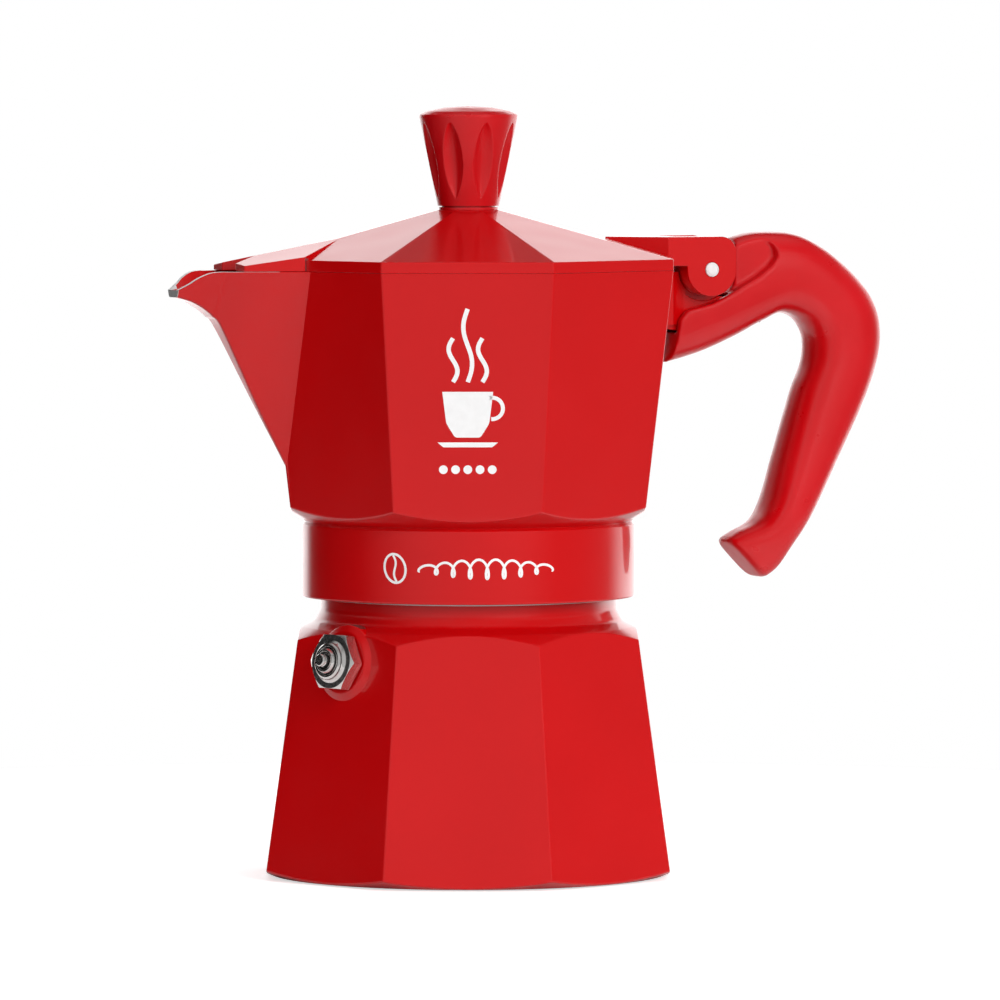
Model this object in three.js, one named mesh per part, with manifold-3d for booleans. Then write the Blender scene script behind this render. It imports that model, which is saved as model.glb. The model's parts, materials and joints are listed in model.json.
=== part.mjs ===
// A three-cup stovetop moka pot, as the separate pieces it comes apart into.
// Units are millimetres, +Z is up, and the origin is the middle of the boiler's base.
// The handle points along +X and the spout along -X, both on corners of the octagon.
import * as THREE from "three";
import { mergeVertices } from "three/addons/utils/BufferGeometryUtils.js";
import { ConvexGeometry } from "three/addons/geometries/ConvexGeometry.js";
import Module from "manifold-3d";

const wasm = await Module();
wasm.setup();

// ---- driving dimensions -------------------------------------------------
const SIDES = 8; // the body is an octagon with corners on +X and -X
const GAP = 0.3; // clearance between pieces that touch
const ROUND = 56; // segments of a large round wall
const SMALL_ROUND = 16; // segments of a small round piece

const BASE_APOTHEM = 42.1; // boiler, centre to flat at the base
const SHOULDER_APOTHEM = 35.1; // boiler, centre to flat where its facets end
const SHOULDER_Z = 51.6;
const NECK_R = 31; // round neck that carries the outer thread
const NECK_TOP = 66;
const BOILER_WALL = 3;
const BOILER_FLOOR = 3.4;

const RING_R = 34.8; // collector's round skirt
const RING_BOTTOM = 58;
const RING_TOP = 73.1;
const RING_BORE = 32.7; // inside of the skirt
const RING_CEILING = 71.5; // underside of the collector's floor
const WAIST_APOTHEM = 36.6; // collector, centre to flat at its lowest facets
const WAIST_Z = 74.9;
const RIM_APOTHEM = 42.5; // collector, centre to flat at its rim
const RIM_Z = 126.2;
const WALL = 2.6;
const POT_FLOOR = 75.4; // inside floor of the collector

const THREAD_PITCH = 3;
const THREAD_TURNS = 1.6;
const THREAD_STEPS = 28; // steps in one turn
const THREAD_START = 0.05; // angle of the thread's first step
const THREAD_ROOT = 1.6; // width of the thread where it meets its wall
const THREAD_CREST = 0.8;
const THREAD_DEPTH = 1.25;

const LID_BOTTOM = RIM_Z + GAP;
const LID_BAND = 2; // height of the lid's straight rim
const LID_PEAK_Z = 138.5;
const LID_PEAK_R = 6.5;
const LID_WALL = 1.9;

const PIN_X = 51.1; // lid hinge
const PIN_Z = 125.7;
const PIN_R = 1.5;
const EAR_OUT = 10; // half the width over the two lid ears
const EAR_IN = 5.2; // half the slot between them
const EAR_R = 5.6;
const EAR_CORNER = 3.4; // radius of an ear's upper corner
const LUG_TOP = 132.6;
const KNUCKLE_HALF = EAR_IN - GAP;

const KNOB_R = 10.2;
const KNOB_BOTTOM = 138.8;
const KNOB_TOP = 160;

const HANDLE_HALF = 8; // half the handle's thickness
const WEB_HALF = 4.9; // half its thickness behind the lid's ears
const TONGUE_HALF = 5.5; // half the bracket's thickness inside the handle
const SCREW_X = 64; // handle screw

const VALVE_Z = 45.5;
const VALVE_TURN = (-157.5 * Math.PI) / 180; // the facet beside the spout
const VALVE_HEX = 11.6; // across flats

const CORNER = 1 / Math.cos(Math.PI / SIDES); // corner radius over apothem

// ---- materials ------------------------------------------------------------
const finish = (color, roughness, metalness) =>
  new THREE.MeshStandardMaterial({ color, roughness, metalness });
const redPaint = () => finish(0xc41219, 0.25, 0.1);
const redPlastic = () => finish(0xb51018, 0.4, 0);
const bareAluminium = () => finish(0xb9bcc0, 0.4, 1);
const polishedSteel = () => finish(0xd2d3d6, 0.18, 1);
const brightBrass = () => finish(0xd8d4c8, 0.2, 1);
const rubber = () => finish(0xe9e4d8, 0.8, 0);

// ---- shape helpers ----------------------------------------------------------
function solid(geometry) {
  geometry.deleteAttribute("normal");
  geometry.deleteAttribute("uv");
  const merged = mergeVertices(geometry, 1e-4);
  return new wasm.Manifold(
    new wasm.Mesh({
      numProp: 3,
      vertProperties: new Float32Array(merged.attributes.position.array),
      triVerts: new Uint32Array(merged.index.array),
    }),
  );
}

function geometryOf(manifold) {
  const mesh = manifold.getMesh();
  const geometry = new THREE.BufferGeometry();
  geometry.setAttribute("position", new THREE.BufferAttribute(mesh.vertProperties, 3));
  geometry.setIndex(new THREE.BufferAttribute(mesh.triVerts, 1));
  return geometry;
}

// Joins any number of solids, or cuts them all from the first.
const join = (...parts) => parts.reduce((whole, part) => whole.add(part));
const cut = (first, ...parts) => parts.reduce((whole, part) => whole.subtract(part), first);

// A closed solid turned about Z from [radius, height] points; it starts and ends on the axis.
function turned(profile, segments = ROUND, start = 0) {
  const points = profile.map(([r, z]) => new THREE.Vector2(r, z));
  const geometry = new THREE.LatheGeometry(points, segments, start);
  geometry.rotateX(Math.PI / 2);
  return solid(geometry);
}

// A ring turned about Z: its profile closes on itself, counter-clockwise in (radius, height).
const ring = (profile, segments = ROUND) => turned([...profile, profile[0]], segments);

const rod = (r, z0, z1, segments = SMALL_ROUND) =>
  turned([[0, z0], [r, z0], [r, z1], [0, z1]], segments);

// An octagonal solid whose [apothem, height] points set its flats, with a corner on +X.
const octagonal = (profile) =>
  turned(profile.map(([a, z]) => [a * CORNER, z]), SIDES, Math.PI / 2);

// An outline in the XZ plane, extruded from y0 to y1.
function plate(outline, y0, y1) {
  const geometry = new THREE.ExtrudeGeometry(outline, {
    depth: y1 - y0,
    bevelEnabled: false,
    curveSegments: 5,
  });
  geometry.rotateX(Math.PI / 2);
  geometry.translate(0, y1, 0);
  return solid(geometry);
}

function outlineOf(points) {
  const shape = new THREE.Shape();
  points.forEach(([x, z], i) => (i ? shape.lineTo(x, z) : shape.moveTo(x, z)));
  return shape;
}

const hull = (points) => solid(new ConvexGeometry(points.map((p) => new THREE.Vector3(...p))));

// The same points on both sides of the plane y = 0.
const mirrored = (points) => points.flatMap(([x, y, z]) => [[x, y, z], [x, -y, z]]);

// A closed solid through rings of points, all with the same number, and a flat cap at each end.
function loft(rings) {
  const around = rings[0].length;
  const index = [];
  for (let i = 0; i < rings.length - 1; i += 1) {
    for (let k = 0; k < around; k += 1) {
      const a = i * around + k;
      const b = i * around + ((k + 1) % around);
      index.push(a, a + around, b, b, a + around, b + around);
    }
  }
  const last = (rings.length - 1) * around;
  for (let k = 1; k < around - 1; k += 1) {
    index.push(0, k, k + 1, last, last + k + 1, last + k);
  }
  const geometry = new THREE.BufferGeometry();
  geometry.setAttribute("position", new THREE.Float32BufferAttribute(rings.flat(2), 3));
  geometry.setIndex(index);
  return solid(geometry);
}

// A helical ridge on a round wall: side +1 stands out from radius r, side -1 stands in.
// It fades in and out over its first and last few steps.
function thread(r, side, z0) {
  const base = r - side * 0.4;
  const crest = r + side * THREAD_DEPTH;
  const steps = Math.round(THREAD_STEPS * THREAD_TURNS);
  const section = [
    [base, -THREAD_ROOT / 2],
    [crest, -THREAD_CREST / 2],
    [crest, THREAD_CREST / 2],
    [base, THREAD_ROOT / 2],
  ];
  if (side < 0) section.reverse();
  const rings = [];
  for (let i = 0; i <= steps; i += 1) {
    const turn = THREAD_START + (i / THREAD_STEPS) * 2 * Math.PI;
    const height = z0 + (THREAD_PITCH * i) / THREAD_STEPS;
    const fade = 0.35 + 0.65 * Math.min(1, i / 3, (steps - i) / 3);
    rings.push(section.map(([radius, dz]) => {
      const reach = base + (radius - base) * fade;
      return [reach * Math.cos(turn), reach * Math.sin(turn), height + dz];
    }));
  }
  return loft(rings);
}

// Rings of small round holes through a disc, as one solid to cut away.
function holePattern(r, spacing, rings, z0, z1) {
  const holes = [];
  for (let ringNumber = 0; ringNumber <= rings; ringNumber += 1) {
    const count = Math.max(1, 6 * ringNumber);
    for (let i = 0; i < count; i += 1) {
      const turn = (2 * Math.PI * i) / count;
      const x = spacing * ringNumber * Math.cos(turn);
      const y = spacing * ringNumber * Math.sin(turn);
      holes.push(rod(r, z0, z1, 6).translate([x, y, 0]));
    }
  }
  return join(...holes);
}

// ---- boiler and its safety valve ------------------------------------------
const facetLean = Math.atan((BASE_APOTHEM - SHOULDER_APOTHEM) / SHOULDER_Z);
const valveApothem = BASE_APOTHEM - VALVE_Z * Math.tan(facetLean);

// Places a piece made along +X at the valve's centre, square to its leaning facet.
function atValve(manifold) {
  const lean = (facetLean * 180) / Math.PI;
  return manifold
    .rotate([0, -lean, 0])
    .translate([valveApothem, 0, VALVE_Z])
    .rotate([0, 0, (VALVE_TURN * 180) / Math.PI]);
}

// A piece turned about +X from [radius, distance along X] points.
const alongX = (profile, segments = SMALL_ROUND) => turned(profile, segments).rotate([0, 90, 0]);

function boiler() {
  const facets = octagonal([[0, 0], [BASE_APOTHEM, 0], [SHOULDER_APOTHEM, SHOULDER_Z],
    [SHOULDER_APOTHEM - 2, NECK_TOP + 1], [0, NECK_TOP + 1]]);
  const envelope = turned([[0, 0], [41.4, 0], [46.6, 2.2], [46.6, 44.2],
    [SHOULDER_APOTHEM, SHOULDER_Z], [33.4, 52.5], [32.1, 53.4], [31.3, 54.4], [NECK_R, 55.7],
    [NECK_R, NECK_TOP], [0, NECK_TOP]]);
  const cavity = turned([[0, BOILER_FLOOR], [34.5, BOILER_FLOOR], [37.6, 6],
    [SHOULDER_APOTHEM - BOILER_WALL, 47.3], [28.9, 54.5], [28.6, NECK_TOP + 1], [0, NECK_TOP + 1]]);
  const groove = ring([[22, -1], [34, -1], [33, 0.6], [23, 0.6]]);
  const boss = atValve(alongX([[0, -3], [7.8, -3], [7.8, 0.5], [7.2, 0.9], [0, 0.9]]));
  const bore = atValve(alongX([[0, -9], [4.4, -9], [4.4, 3], [0, 3]]));
  const shell = join(facets.intersect(envelope), boss, thread(NECK_R, 1, 60.2));
  return cut(shell, cavity, groove, bore);
}

function valveBody() {
  const across = (VALVE_HEX / 2) / Math.cos(Math.PI / 6);
  const hex = alongX([[0, 0.9 + GAP], [across, 0.9 + GAP], [across, 4], [0, 4]], 6).rotate([30, 0, 0]);
  const chamfer = alongX([[0, 1], [6.2, 1], [6.9, 1.5], [6.9, 3.2], [5.9, 3.9], [0, 3.9]]);
  const collar = alongX([[0, 3], [3.8, 3], [3.8, 5], [3.4, 5.3], [0, 5.3]]);
  const stub = alongX([[0, -6.5], [4.1, -6.5], [4.1, 1.5], [0, 1.5]]);
  const chamber = alongX([[0, -4.5], [2.9, -4.5], [2.9, 6], [0, 6]]);
  const inlet = alongX([[0, -7], [1.6, -7], [1.6, -4], [0, -4]], 12);
  return atValve(cut(join(hex.intersect(chamfer), collar, stub), chamber, inlet));
}

const valveCap = () =>
  atValve(alongX([[1.9, 3.2], [2.6, 3.2], [2.6, 5.6], [2.5, 6.1], [1.9, 6.1], [1.9, 3.2]]));

const valvePlunger = () =>
  atValve(alongX([[0, -3.2], [2.5, -3.2], [2.5, -2.1], [1.3, -2.1], [1.3, 6.9],
    [1, 7.4], [0, 7.4]]));

const valveSeal = () =>
  atValve(alongX([[0, -4.2], [2.4, -4.2], [2.4, -3.5], [0, -3.5]]));

// The relief spring sits around the plunger, between its head and the cap.
function valveSpring() {
  const turns = 4;
  const steps = 12 * turns;
  const start = -1.5;
  const length = 4.2;
  const path = [];
  for (let i = 0; i <= steps; i += 1) {
    const turn = (2 * Math.PI * turns * i) / steps;
    path.push(new THREE.Vector3(start + (length * i) / steps, 2.1 * Math.cos(turn), 2.1 * Math.sin(turn)));
  }
  const wire = new THREE.Shape().absarc(0, 0, 0.3, 0, 2 * Math.PI);
  const coil = new THREE.ExtrudeGeometry(wire, {
    steps,
    curveSegments: 3,
    bevelEnabled: false,
    extrudePath: new THREE.CatmullRomCurve3(path),
  });
  return atValve(solid(coil));
}

// ---- what sits between boiler and collector ---------------------------------
function funnel() {
  const seat = NECK_TOP + GAP;
  return ring([[3.7, 7], [4.6, 7], [4.6, 36], [27.4, 46.5], [27.4, seat], [31, seat],
    [31, seat + 0.9], [26.5, seat + 0.9], [26.5, 47], [3.7, 36.4]], 40);
}

function funnelSieve() {
  const disc = rod(26.1, 48.2, 49.1, 40);
  return cut(disc, holePattern(1, 6.2, 3, 47, 50));
}

function gasket() {
  return ring([[22.8, 67.8], [31.9, 67.8], [31.9, 71.1], [25.6, 71.1], [25.6, 69.4], [22.8, 69.4]], 40);
}

function filterPlate() {
  const disc = rod(25.2, 69.7, 70.6, 40);
  return cut(disc, holePattern(0.9, 5.8, 3, 69, 72));
}

// ---- collector: the upper pot, with its spout, column and handle bracket ----
const collectorLean = (RIM_APOTHEM - WAIST_APOTHEM) / (RIM_Z - WAIST_Z);

// The spout in slices along -X: [distance out, keel height, half the keel, half the mouth, lip height].
const SPOUT = [
  [38, 80.4, 0.2, 14, RIM_Z],
  [41.1, 86.1, 0.4, 13.1, RIM_Z],
  [48.1, 99.2, 1.2, 10.7, RIM_Z],
  [55.7, 114.2, 2.4, 8.2, RIM_Z],
  [57.9, 116.9, 2.7, 7.5, RIM_Z],
  [59.9, 118.5, 2.8, 6.7, 125.9],
  [62, 119.7, 2.9, 5.6, 124.9],
  [63.6, 120.3, 2.8, 4.5, 123.7],
  [65.7, 120.9, 2.3, 3, 122.4],
];

const spoutLoft = (slices) =>
  loft(slices.map(([x, keel, narrow, wide, top]) =>
    [[-x, narrow, keel], [-x, wide, top], [-x, -wide, top], [-x, -narrow, keel]]));

// The hollow of the spout, open above and at the lip. Its floor thins from the steep keel to the lip.
function spoutHollow() {
  const tip = SPOUT[SPOUT.length - 1];
  const slices = SPOUT.map(([x, keel, narrow, wide, top], i) => {
    const floor = [4.2, 4.2, 4.2, 4, 3.1, 2.6, 2.2, 1.9, 1.5][i];
    const side = Math.min(2, 0.4 * wide);
    return [x, keel + floor, narrow * 0.6, wide - side + 0.8, top + 4];
  });
  slices[0][0] = 35;
  slices.push([tip[0] + 1.5, tip[1] + 1.5, 1.5, tip[3] - 0.4, tip[4] + 4]);
  return spoutLoft(slices);
}

function bracket() {
  const arm = new THREE.Shape();
  arm.moveTo(40, 113.6);
  arm.lineTo(47, 112.6);
  arm.lineTo(52, 112.9);
  arm.lineTo(68, 119.9);
  arm.lineTo(68, 122.8);
  arm.lineTo(58, 119.6);
  arm.lineTo(PIN_X + 3.4, PIN_Z - 5.7);
  arm.absarc(PIN_X, PIN_Z, 6.6, -0.33 * Math.PI, -0.98 * Math.PI, true);
  arm.lineTo(40, 125.4);
  const tongue = plate(arm, -TONGUE_HALF, TONGUE_HALF);
  const nose = new THREE.Shape();
  nose.moveTo(46, 117);
  nose.lineTo(PIN_X + 3, 117.6);
  nose.lineTo(PIN_X + 4.2, PIN_Z - 2.3);
  nose.absarc(PIN_X, PIN_Z, 4.8, -0.16 * Math.PI, Math.PI, false);
  const knuckle = plate(nose, -KNUCKLE_HALF, KNUCKLE_HALF);
  return join(tongue, knuckle);
}

function collector() {
  const reach = (z) => WAIST_APOTHEM + collectorLean * (z - WAIST_Z);
  const wide = BASE_APOTHEM; // clear of the round skirt
  const facets = octagonal([[0, RING_BOTTOM - 1], [wide, RING_BOTTOM - 1], [wide, WAIST_Z - 0.9],
    [reach(WAIST_Z - 0.9), WAIST_Z - 0.9], [reach(RIM_Z), RIM_Z], [0, RIM_Z]]);
  const waist = RING_R - 0.7; // a fine groove where the skirt meets the facets
  const envelope = turned([[0, RING_BOTTOM], [RING_R - 0.4, RING_BOTTOM], [RING_R, RING_BOTTOM + 0.4],
    [RING_R, RING_TOP], [waist, RING_TOP + 0.6], [WAIST_APOTHEM, WAIST_Z + 0.3], [48, 81.8],
    [48, RIM_Z + 1], [0, RIM_Z + 1]]);
  const body = join(facets.intersect(envelope), spoutLoft(SPOUT), bracket());

  const inside = (z) => reach(z) - WALL;
  const bowl = octagonal([[0, POT_FLOOR], [inside(POT_FLOOR), POT_FLOOR],
    [inside(RIM_Z + 3), RIM_Z + 3], [0, RIM_Z + 3]]);
  const bowlRound = turned([[0, POT_FLOOR], [31, POT_FLOOR], [34.5, 77.5], [48, 90], [48, RIM_Z + 3],
    [0, RIM_Z + 3]]);
  const hollow = join(bowl.intersect(bowlRound), spoutHollow());

  const column = turned([[0, POT_FLOOR - 1], [10.5, POT_FLOOR - 1], [9, POT_FLOOR + 1.5], [8, 80],
    [5.2, 112.5], [4.2, 113.6], [0, 113.6]], SMALL_ROUND);
  const columnBore = turned([[0, RING_CEILING - 1], [6.6, RING_CEILING - 1], [5.6, 78], [3.4, 110.5],
    [0, 110.5]], SMALL_ROUND);
  const slot = plate(outlineOf([[-6, 106], [6, 106], [6, 109.5], [-6, 109.5]]), -1.5, 1.5);

  const skirtBore = turned([[0, RING_BOTTOM - 1], [RING_BORE, RING_BOTTOM - 1],
    [RING_BORE, RING_CEILING], [0, RING_CEILING]]);
  const pinBore = rod(PIN_R + 0.1, -12, 12).rotate([90, 0, 0]).translate([PIN_X, 0, PIN_Z]);
  const screwBore = rod(1.5, 109, 130, 12).translate([SCREW_X, 0, 0]);
  const shell = cut(body, hollow, skirtBore, pinBore, screwBore);
  return cut(join(shell, column, thread(RING_BORE, -1, 61.7)), columnBore, slot.rotate([0, 0, 90]));
}

// ---- lid, knob and hinge pin ---------------------------------------------------
function lid() {
  const bandTop = LID_BOTTOM + LID_BAND;
  const peakApothem = LID_PEAK_R / CORNER;
  const roof = octagonal([[0, LID_BOTTOM], [RIM_APOTHEM, LID_BOTTOM], [RIM_APOTHEM, bandTop],
    [peakApothem, LID_PEAK_Z], [0, LID_PEAK_Z]]);
  const under = octagonal([[0, LID_BOTTOM - 1], [RIM_APOTHEM - LID_WALL, LID_BOTTOM - 1],
    [RIM_APOTHEM - LID_WALL, bandTop - 1.4], [8, LID_PEAK_Z - LID_WALL], [0, LID_PEAK_Z - LID_WALL]]);

  // The beak over the spout: a low ridged roof with a notched end.
  const ridge = (x) => 129.3 + 0.184 * (47.9 - x);
  const beak = hull(mirrored([[-28.5, 0, ridge(28.5)], [-28.5, 0, 127.5], [-41.5, 12.65, 129.2],
    [-41.5, 12.65, LID_BOTTOM], [-53.4, 0, ridge(53.4)], [-53.4, 8.9, 127.4], [-53.4, 8.9, LID_BOTTOM],
    [-32, 4, LID_BOTTOM], [-32, 0, LID_BOTTOM]]));
  const notch = hull([[-47.9, 0, 120], [-47.9, 0, 135], [-54.4, 4.7, 120], [-54.4, 4.7, 135],
    [-54.4, -4.7, 120], [-54.4, -4.7, 135]]);

  // The lug runs back from the roof and splits into two ears around the pin.
  const lugPlan = outlineOf([[30.9, 0], [41.2, EAR_OUT], [58, EAR_OUT], [58, -EAR_OUT], [41.2, -EAR_OUT]]);
  const lugPrism = solid(new THREE.ExtrudeGeometry(lugPlan, { depth: 20, bevelEnabled: false }))
    .translate([0, 0, 118]);
  const side = new THREE.Shape();
  side.moveTo(30, LID_BOTTOM);
  side.lineTo(PIN_X - EAR_R, LID_BOTTOM);
  side.absarc(PIN_X, PIN_Z, EAR_R, Math.PI, 2 * Math.PI, false);
  side.absarc(PIN_X + EAR_R - EAR_CORNER, LUG_TOP - EAR_CORNER, EAR_CORNER, 0, 0.5 * Math.PI, false);
  side.lineTo(30, LUG_TOP);
  const lug = plate(side, -EAR_OUT, EAR_OUT).intersect(lugPrism);
  const slot = plate(outlineOf([[44.9, 110], [60, 110], [60, 140], [44.9, 140]]), -EAR_IN, EAR_IN);

  const hubBore = rod(1.7, 130, 142, 16);
  const pinBore = rod(PIN_R + 0.1, -12, 12).rotate([90, 0, 0]).translate([PIN_X, 0, PIN_Z]);
  return cut(join(roof, beak, lug), under, notch, slot, hubBore, pinBore);
}

function knob() {
  const body = turned([[0, KNOB_BOTTOM], [5.85, KNOB_BOTTOM], [5.85, 139.3], [6.4, 139.3],
    [KNOB_R, 157.6], [KNOB_R, 158.1], [9, 158.9], [5.5, 159.7], [0, KNOB_TOP]], 32);
  // Each flute is a long leaf scooped out of the flare, one at each corner of the octagon.
  const flare = Math.atan((KNOB_R - 6.4) / (157.6 - 139.3));
  const scoop = turned([[0, -8.4], [1.3, -5], [2.4, 0], [2.9, 4.5], [2.4, 6.8], [0, 8]], 10)
    .rotate([0, (flare * 180) / Math.PI, 0])
    .translate([9.4, 0, 148.6]);
  const flutes = Array.from({ length: SIDES }, (_, i) => scoop.rotate([0, 0, i * 45]));
  const bore = rod(1.7, 130, 150, 16);
  return cut(body, ...flutes, bore);
}

const knobScrew = () =>
  turned([[0, LID_PEAK_Z - 4.6], [3.4, LID_PEAK_Z - 4.6], [3.9, LID_PEAK_Z - 2.2], [1.4, LID_PEAK_Z - 2.2],
    [1.4, 148.6], [0, 149.4]], 16);

const hingePin = () =>
  turned([[0, -EAR_OUT - 0.5], [1, -EAR_OUT - 0.5], [PIN_R, -EAR_OUT], [PIN_R, EAR_OUT],
    [1, EAR_OUT + 0.5], [0, EAR_OUT + 0.5]], SMALL_ROUND).rotate([90, 0, 0]).translate([PIN_X, 0, PIN_Z]);

// ---- handle ---------------------------------------------------------------------
// The grip's outer and inner edges, from the collector's wall round to the foot.
const GRIP = [
  [[42, 123.5], [43, 105.8]],
  [[52, 128.4], [51.5, 108.1]],
  [[60.7, 132.4], [59, 111.1]],
  [[68, 133.3], [65.3, 114.2]],
  [[75.5, 132.2], [70.2, 116.2]],
  [[83.8, 127.1], [74.8, 114.9]],
  [[90.9, 119.6], [77.3, 111]],
  [[93.2, 111.3], [77.1, 105.6]],
  [[90.5, 100.4], [74.5, 99.1]],
  [[82.9, 84.9], [70.5, 85.7]],
  [[76.7, 73], [68.1, 77.3]],
  [[72.5, 67], [65.4, 72.5]],
  [[69.2, 62.4], [61, 70.2]],
  [[65.8, 60], [57.7, 68.4]],
];

// The grip is a loft of rounded rectangles that stand between its two edges.
function grip(stations, around) {
  const edge = (side) => new THREE.CatmullRomCurve3(
    GRIP.map((pair) => new THREE.Vector3(pair[side][0], 0, pair[side][1])), false, "centripetal");
  const outer = edge(0);
  const inner = edge(1);
  const squared = (value) => Math.sign(value) * Math.abs(value) ** 0.84;
  const widest = squared(Math.cos(Math.PI / around));
  const rings = [];
  for (let i = 0; i <= stations; i += 1) {
    const o = outer.getPoint(i / stations);
    const n = inner.getPoint(i / stations);
    rings.push(Array.from({ length: around }, (_, k) => {
      const turn = (2 * Math.PI * (k + 0.5)) / around;
      const across = (1 + squared(Math.cos(turn)) / widest) / 2;
      return [n.x + (o.x - n.x) * across, HANDLE_HALF * squared(Math.sin(turn)), n.z + (o.z - n.z) * across];
    }));
  }
  return loft(rings);
}

function handle() {
  // The collector's wall, the bracket's tongue and the lid's ears all need room.
  const wallX = (z) => (WAIST_APOTHEM + collectorLean * (z - WAIST_Z)) * CORNER + GAP;
  const wallCut = plate(outlineOf([[30, 100], [wallX(100), 100], [wallX(130), 130], [30, 130]]), -12, 12);
  const earRoom = plate(outlineOf([[38, 108], [42.4, 108], [44, 114], [46.6, 117.2], [52.2, 118.5],
    [55.7, 120.1], [57.6, 121.2], [58.6, 122.8], [58.6, 130], [59.6, 132.2], [59.6, 140], [38, 140]]),
  -12, 12);
  const tongueRoom = plate(outlineOf([[38, 113.2], [46.9, 112.2], [52.2, 112.5], [68.4, 119.6],
    [68.4, 123.3], [58, 120], [56, 121], [56, 130], [38, 130]]), -TONGUE_HALF - GAP, TONGUE_HALF + GAP);
  const pocketShape = outlineOf([[50, 117.9], [55.7, 120.1], [62.7, 124], [65.3, 126.1], [66.3, 127.8],
    [66.1, 129.6], [64.7, 131.1], [61.9, 132], [58, 134], [50, 134]]);
  const pockets = [plate(pocketShape, WEB_HALF, 12), plate(pocketShape, -12, -WEB_HALF)];
  const screwBore = rod(1.5, 90, 120, 12).translate([SCREW_X, 0, 0]);
  const screwHead = rod(3.1, 90, 116.2, 12).translate([SCREW_X, 0, 0]);
  return cut(grip(36, 16), wallCut, earRoom, tongueRoom, ...pockets, screwBore, screwHead);
}

const handleScrew = () =>
  turned([[0, 114.2], [2.7, 114.2], [2.7, 115.9], [1.2, 115.9], [1.2, 121], [0, 121.6]], SMALL_ROUND)
    .translate([SCREW_X, 0, 0]);

// ---- the assembly -------------------------------------------------------------
const pieces = [
  ["boiler", boiler, redPaint],
  ["valve_body", valveBody, brightBrass],
  ["valve_cap", valveCap, polishedSteel],
  ["valve_plunger", valvePlunger, brightBrass],
  ["valve_seal", valveSeal, rubber],
  ["valve_spring", valveSpring, polishedSteel],
  ["funnel", funnel, bareAluminium],
  ["funnel_sieve", funnelSieve, bareAluminium],
  ["gasket", gasket, rubber],
  ["filter_plate", filterPlate, bareAluminium],
  ["collector", collector, redPaint],
  ["lid", lid, redPaint],
  ["knob", knob, redPlastic],
  ["knob_screw", knobScrew, polishedSteel],
  ["hinge_pin", hingePin, polishedSteel],
  ["handle", handle, redPlastic],
  ["handle_screw", handleScrew, polishedSteel],
];

const pot = new THREE.Group();
for (const [name, make, material] of pieces) {
  const mesh = new THREE.Mesh(geometryOf(make()), material());
  mesh.name = name;
  pot.add(mesh);
}

export default pot;
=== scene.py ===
"""The looks of a stovetop moka pot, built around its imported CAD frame. Blender 4.5.

Shapes are worked out in millimetres and made in metres. The handle is along +X, the spout along -X.
"""

import json
import math
from contextlib import contextmanager

import bmesh
import bpy
from mathutils import Matrix, Vector


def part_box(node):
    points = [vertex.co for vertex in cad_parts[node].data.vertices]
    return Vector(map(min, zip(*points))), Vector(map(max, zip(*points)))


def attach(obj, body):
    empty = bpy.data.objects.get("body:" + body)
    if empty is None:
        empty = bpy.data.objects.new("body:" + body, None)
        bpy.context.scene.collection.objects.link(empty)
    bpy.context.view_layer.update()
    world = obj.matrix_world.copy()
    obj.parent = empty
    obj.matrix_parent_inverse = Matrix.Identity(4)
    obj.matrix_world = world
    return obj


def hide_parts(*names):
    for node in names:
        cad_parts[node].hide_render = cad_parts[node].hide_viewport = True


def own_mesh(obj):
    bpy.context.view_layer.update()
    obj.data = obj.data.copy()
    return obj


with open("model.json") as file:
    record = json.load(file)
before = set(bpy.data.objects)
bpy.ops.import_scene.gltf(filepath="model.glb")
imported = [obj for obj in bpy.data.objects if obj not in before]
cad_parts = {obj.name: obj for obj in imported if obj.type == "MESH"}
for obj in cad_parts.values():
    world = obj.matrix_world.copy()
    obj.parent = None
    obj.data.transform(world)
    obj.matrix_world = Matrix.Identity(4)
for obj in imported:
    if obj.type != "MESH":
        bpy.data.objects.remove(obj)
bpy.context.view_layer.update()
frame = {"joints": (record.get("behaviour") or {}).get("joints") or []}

MM = 0.001


def span(node):
    """The lowest and highest corners of a CAD node, in millimetres."""
    low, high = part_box(node)
    return low / MM, high / MM


# ---- sizes, from the frame where the frame holds them ----
SIDES = 8
joints = {joint["name"]: joint for joint in frame["joints"]}
PIN_X, _, PIN_Z = (1000 * value for value in joints["lid_hinge"]["pos_m"])

NECK_TOP = span("boiler")[1].z
BASE_APOTHEM = 42.1  # centre to flat, boiler
SHOULDER_APOTHEM = 35.1
SHOULDER_Z = 51.6
NECK_R = 31
FLOOR_Z = 3.4

RING_BOTTOM = span("collector")[0].z
RING_TOP = RING_BOTTOM + 15.1
RING_R = 34.8
RING_BORE = 32.7
RING_CEILING = 71.5
WAIST_APOTHEM = 36.6  # centre to flat, collector
WAIST_Z = 74.9
RIM_APOTHEM = 42.5
RIM_Z = 126.2
WALL = 2.6
POT_FLOOR = 75.4
COLUMN_TOP = 113.6

GAP = 0.3  # between pieces that only lie against each other
THROUGH = 12  # half the length of a cutting tool that goes right through along Y
SEAM = 0.04  # what shows of the gap under the lid
LID_BOTTOM = RIM_Z + SEAM
LID_BAND = 2.3
LID_PEAK_Z = span("lid")[1].z
LID_PEAK_R = 6.5
LID_WALL = 1.9
EAR_OUT = 10
EAR_IN = 5.2
EAR_R = 5.6
EAR_CORNER = 3.4
LUG_TOP = 132.6

KNOB_BOTTOM = span("knob")[0].z
KNOB_TOP = span("knob")[1].z
KNOB_R = span("knob")[1].x
KNOB_BORE_R = 1.7

PIN_R = 1.5
PIN_BORE_R = PIN_R + 0.1
PIN_HALF = span("hinge_pin")[1].y
HANDLE_HALF = span("handle")[1].y
WEB_HALF = 4.9
TONGUE_HALF = 5.5
SCREW_X = (span("handle_screw")[0].x + span("handle_screw")[1].x) / 2

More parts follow.
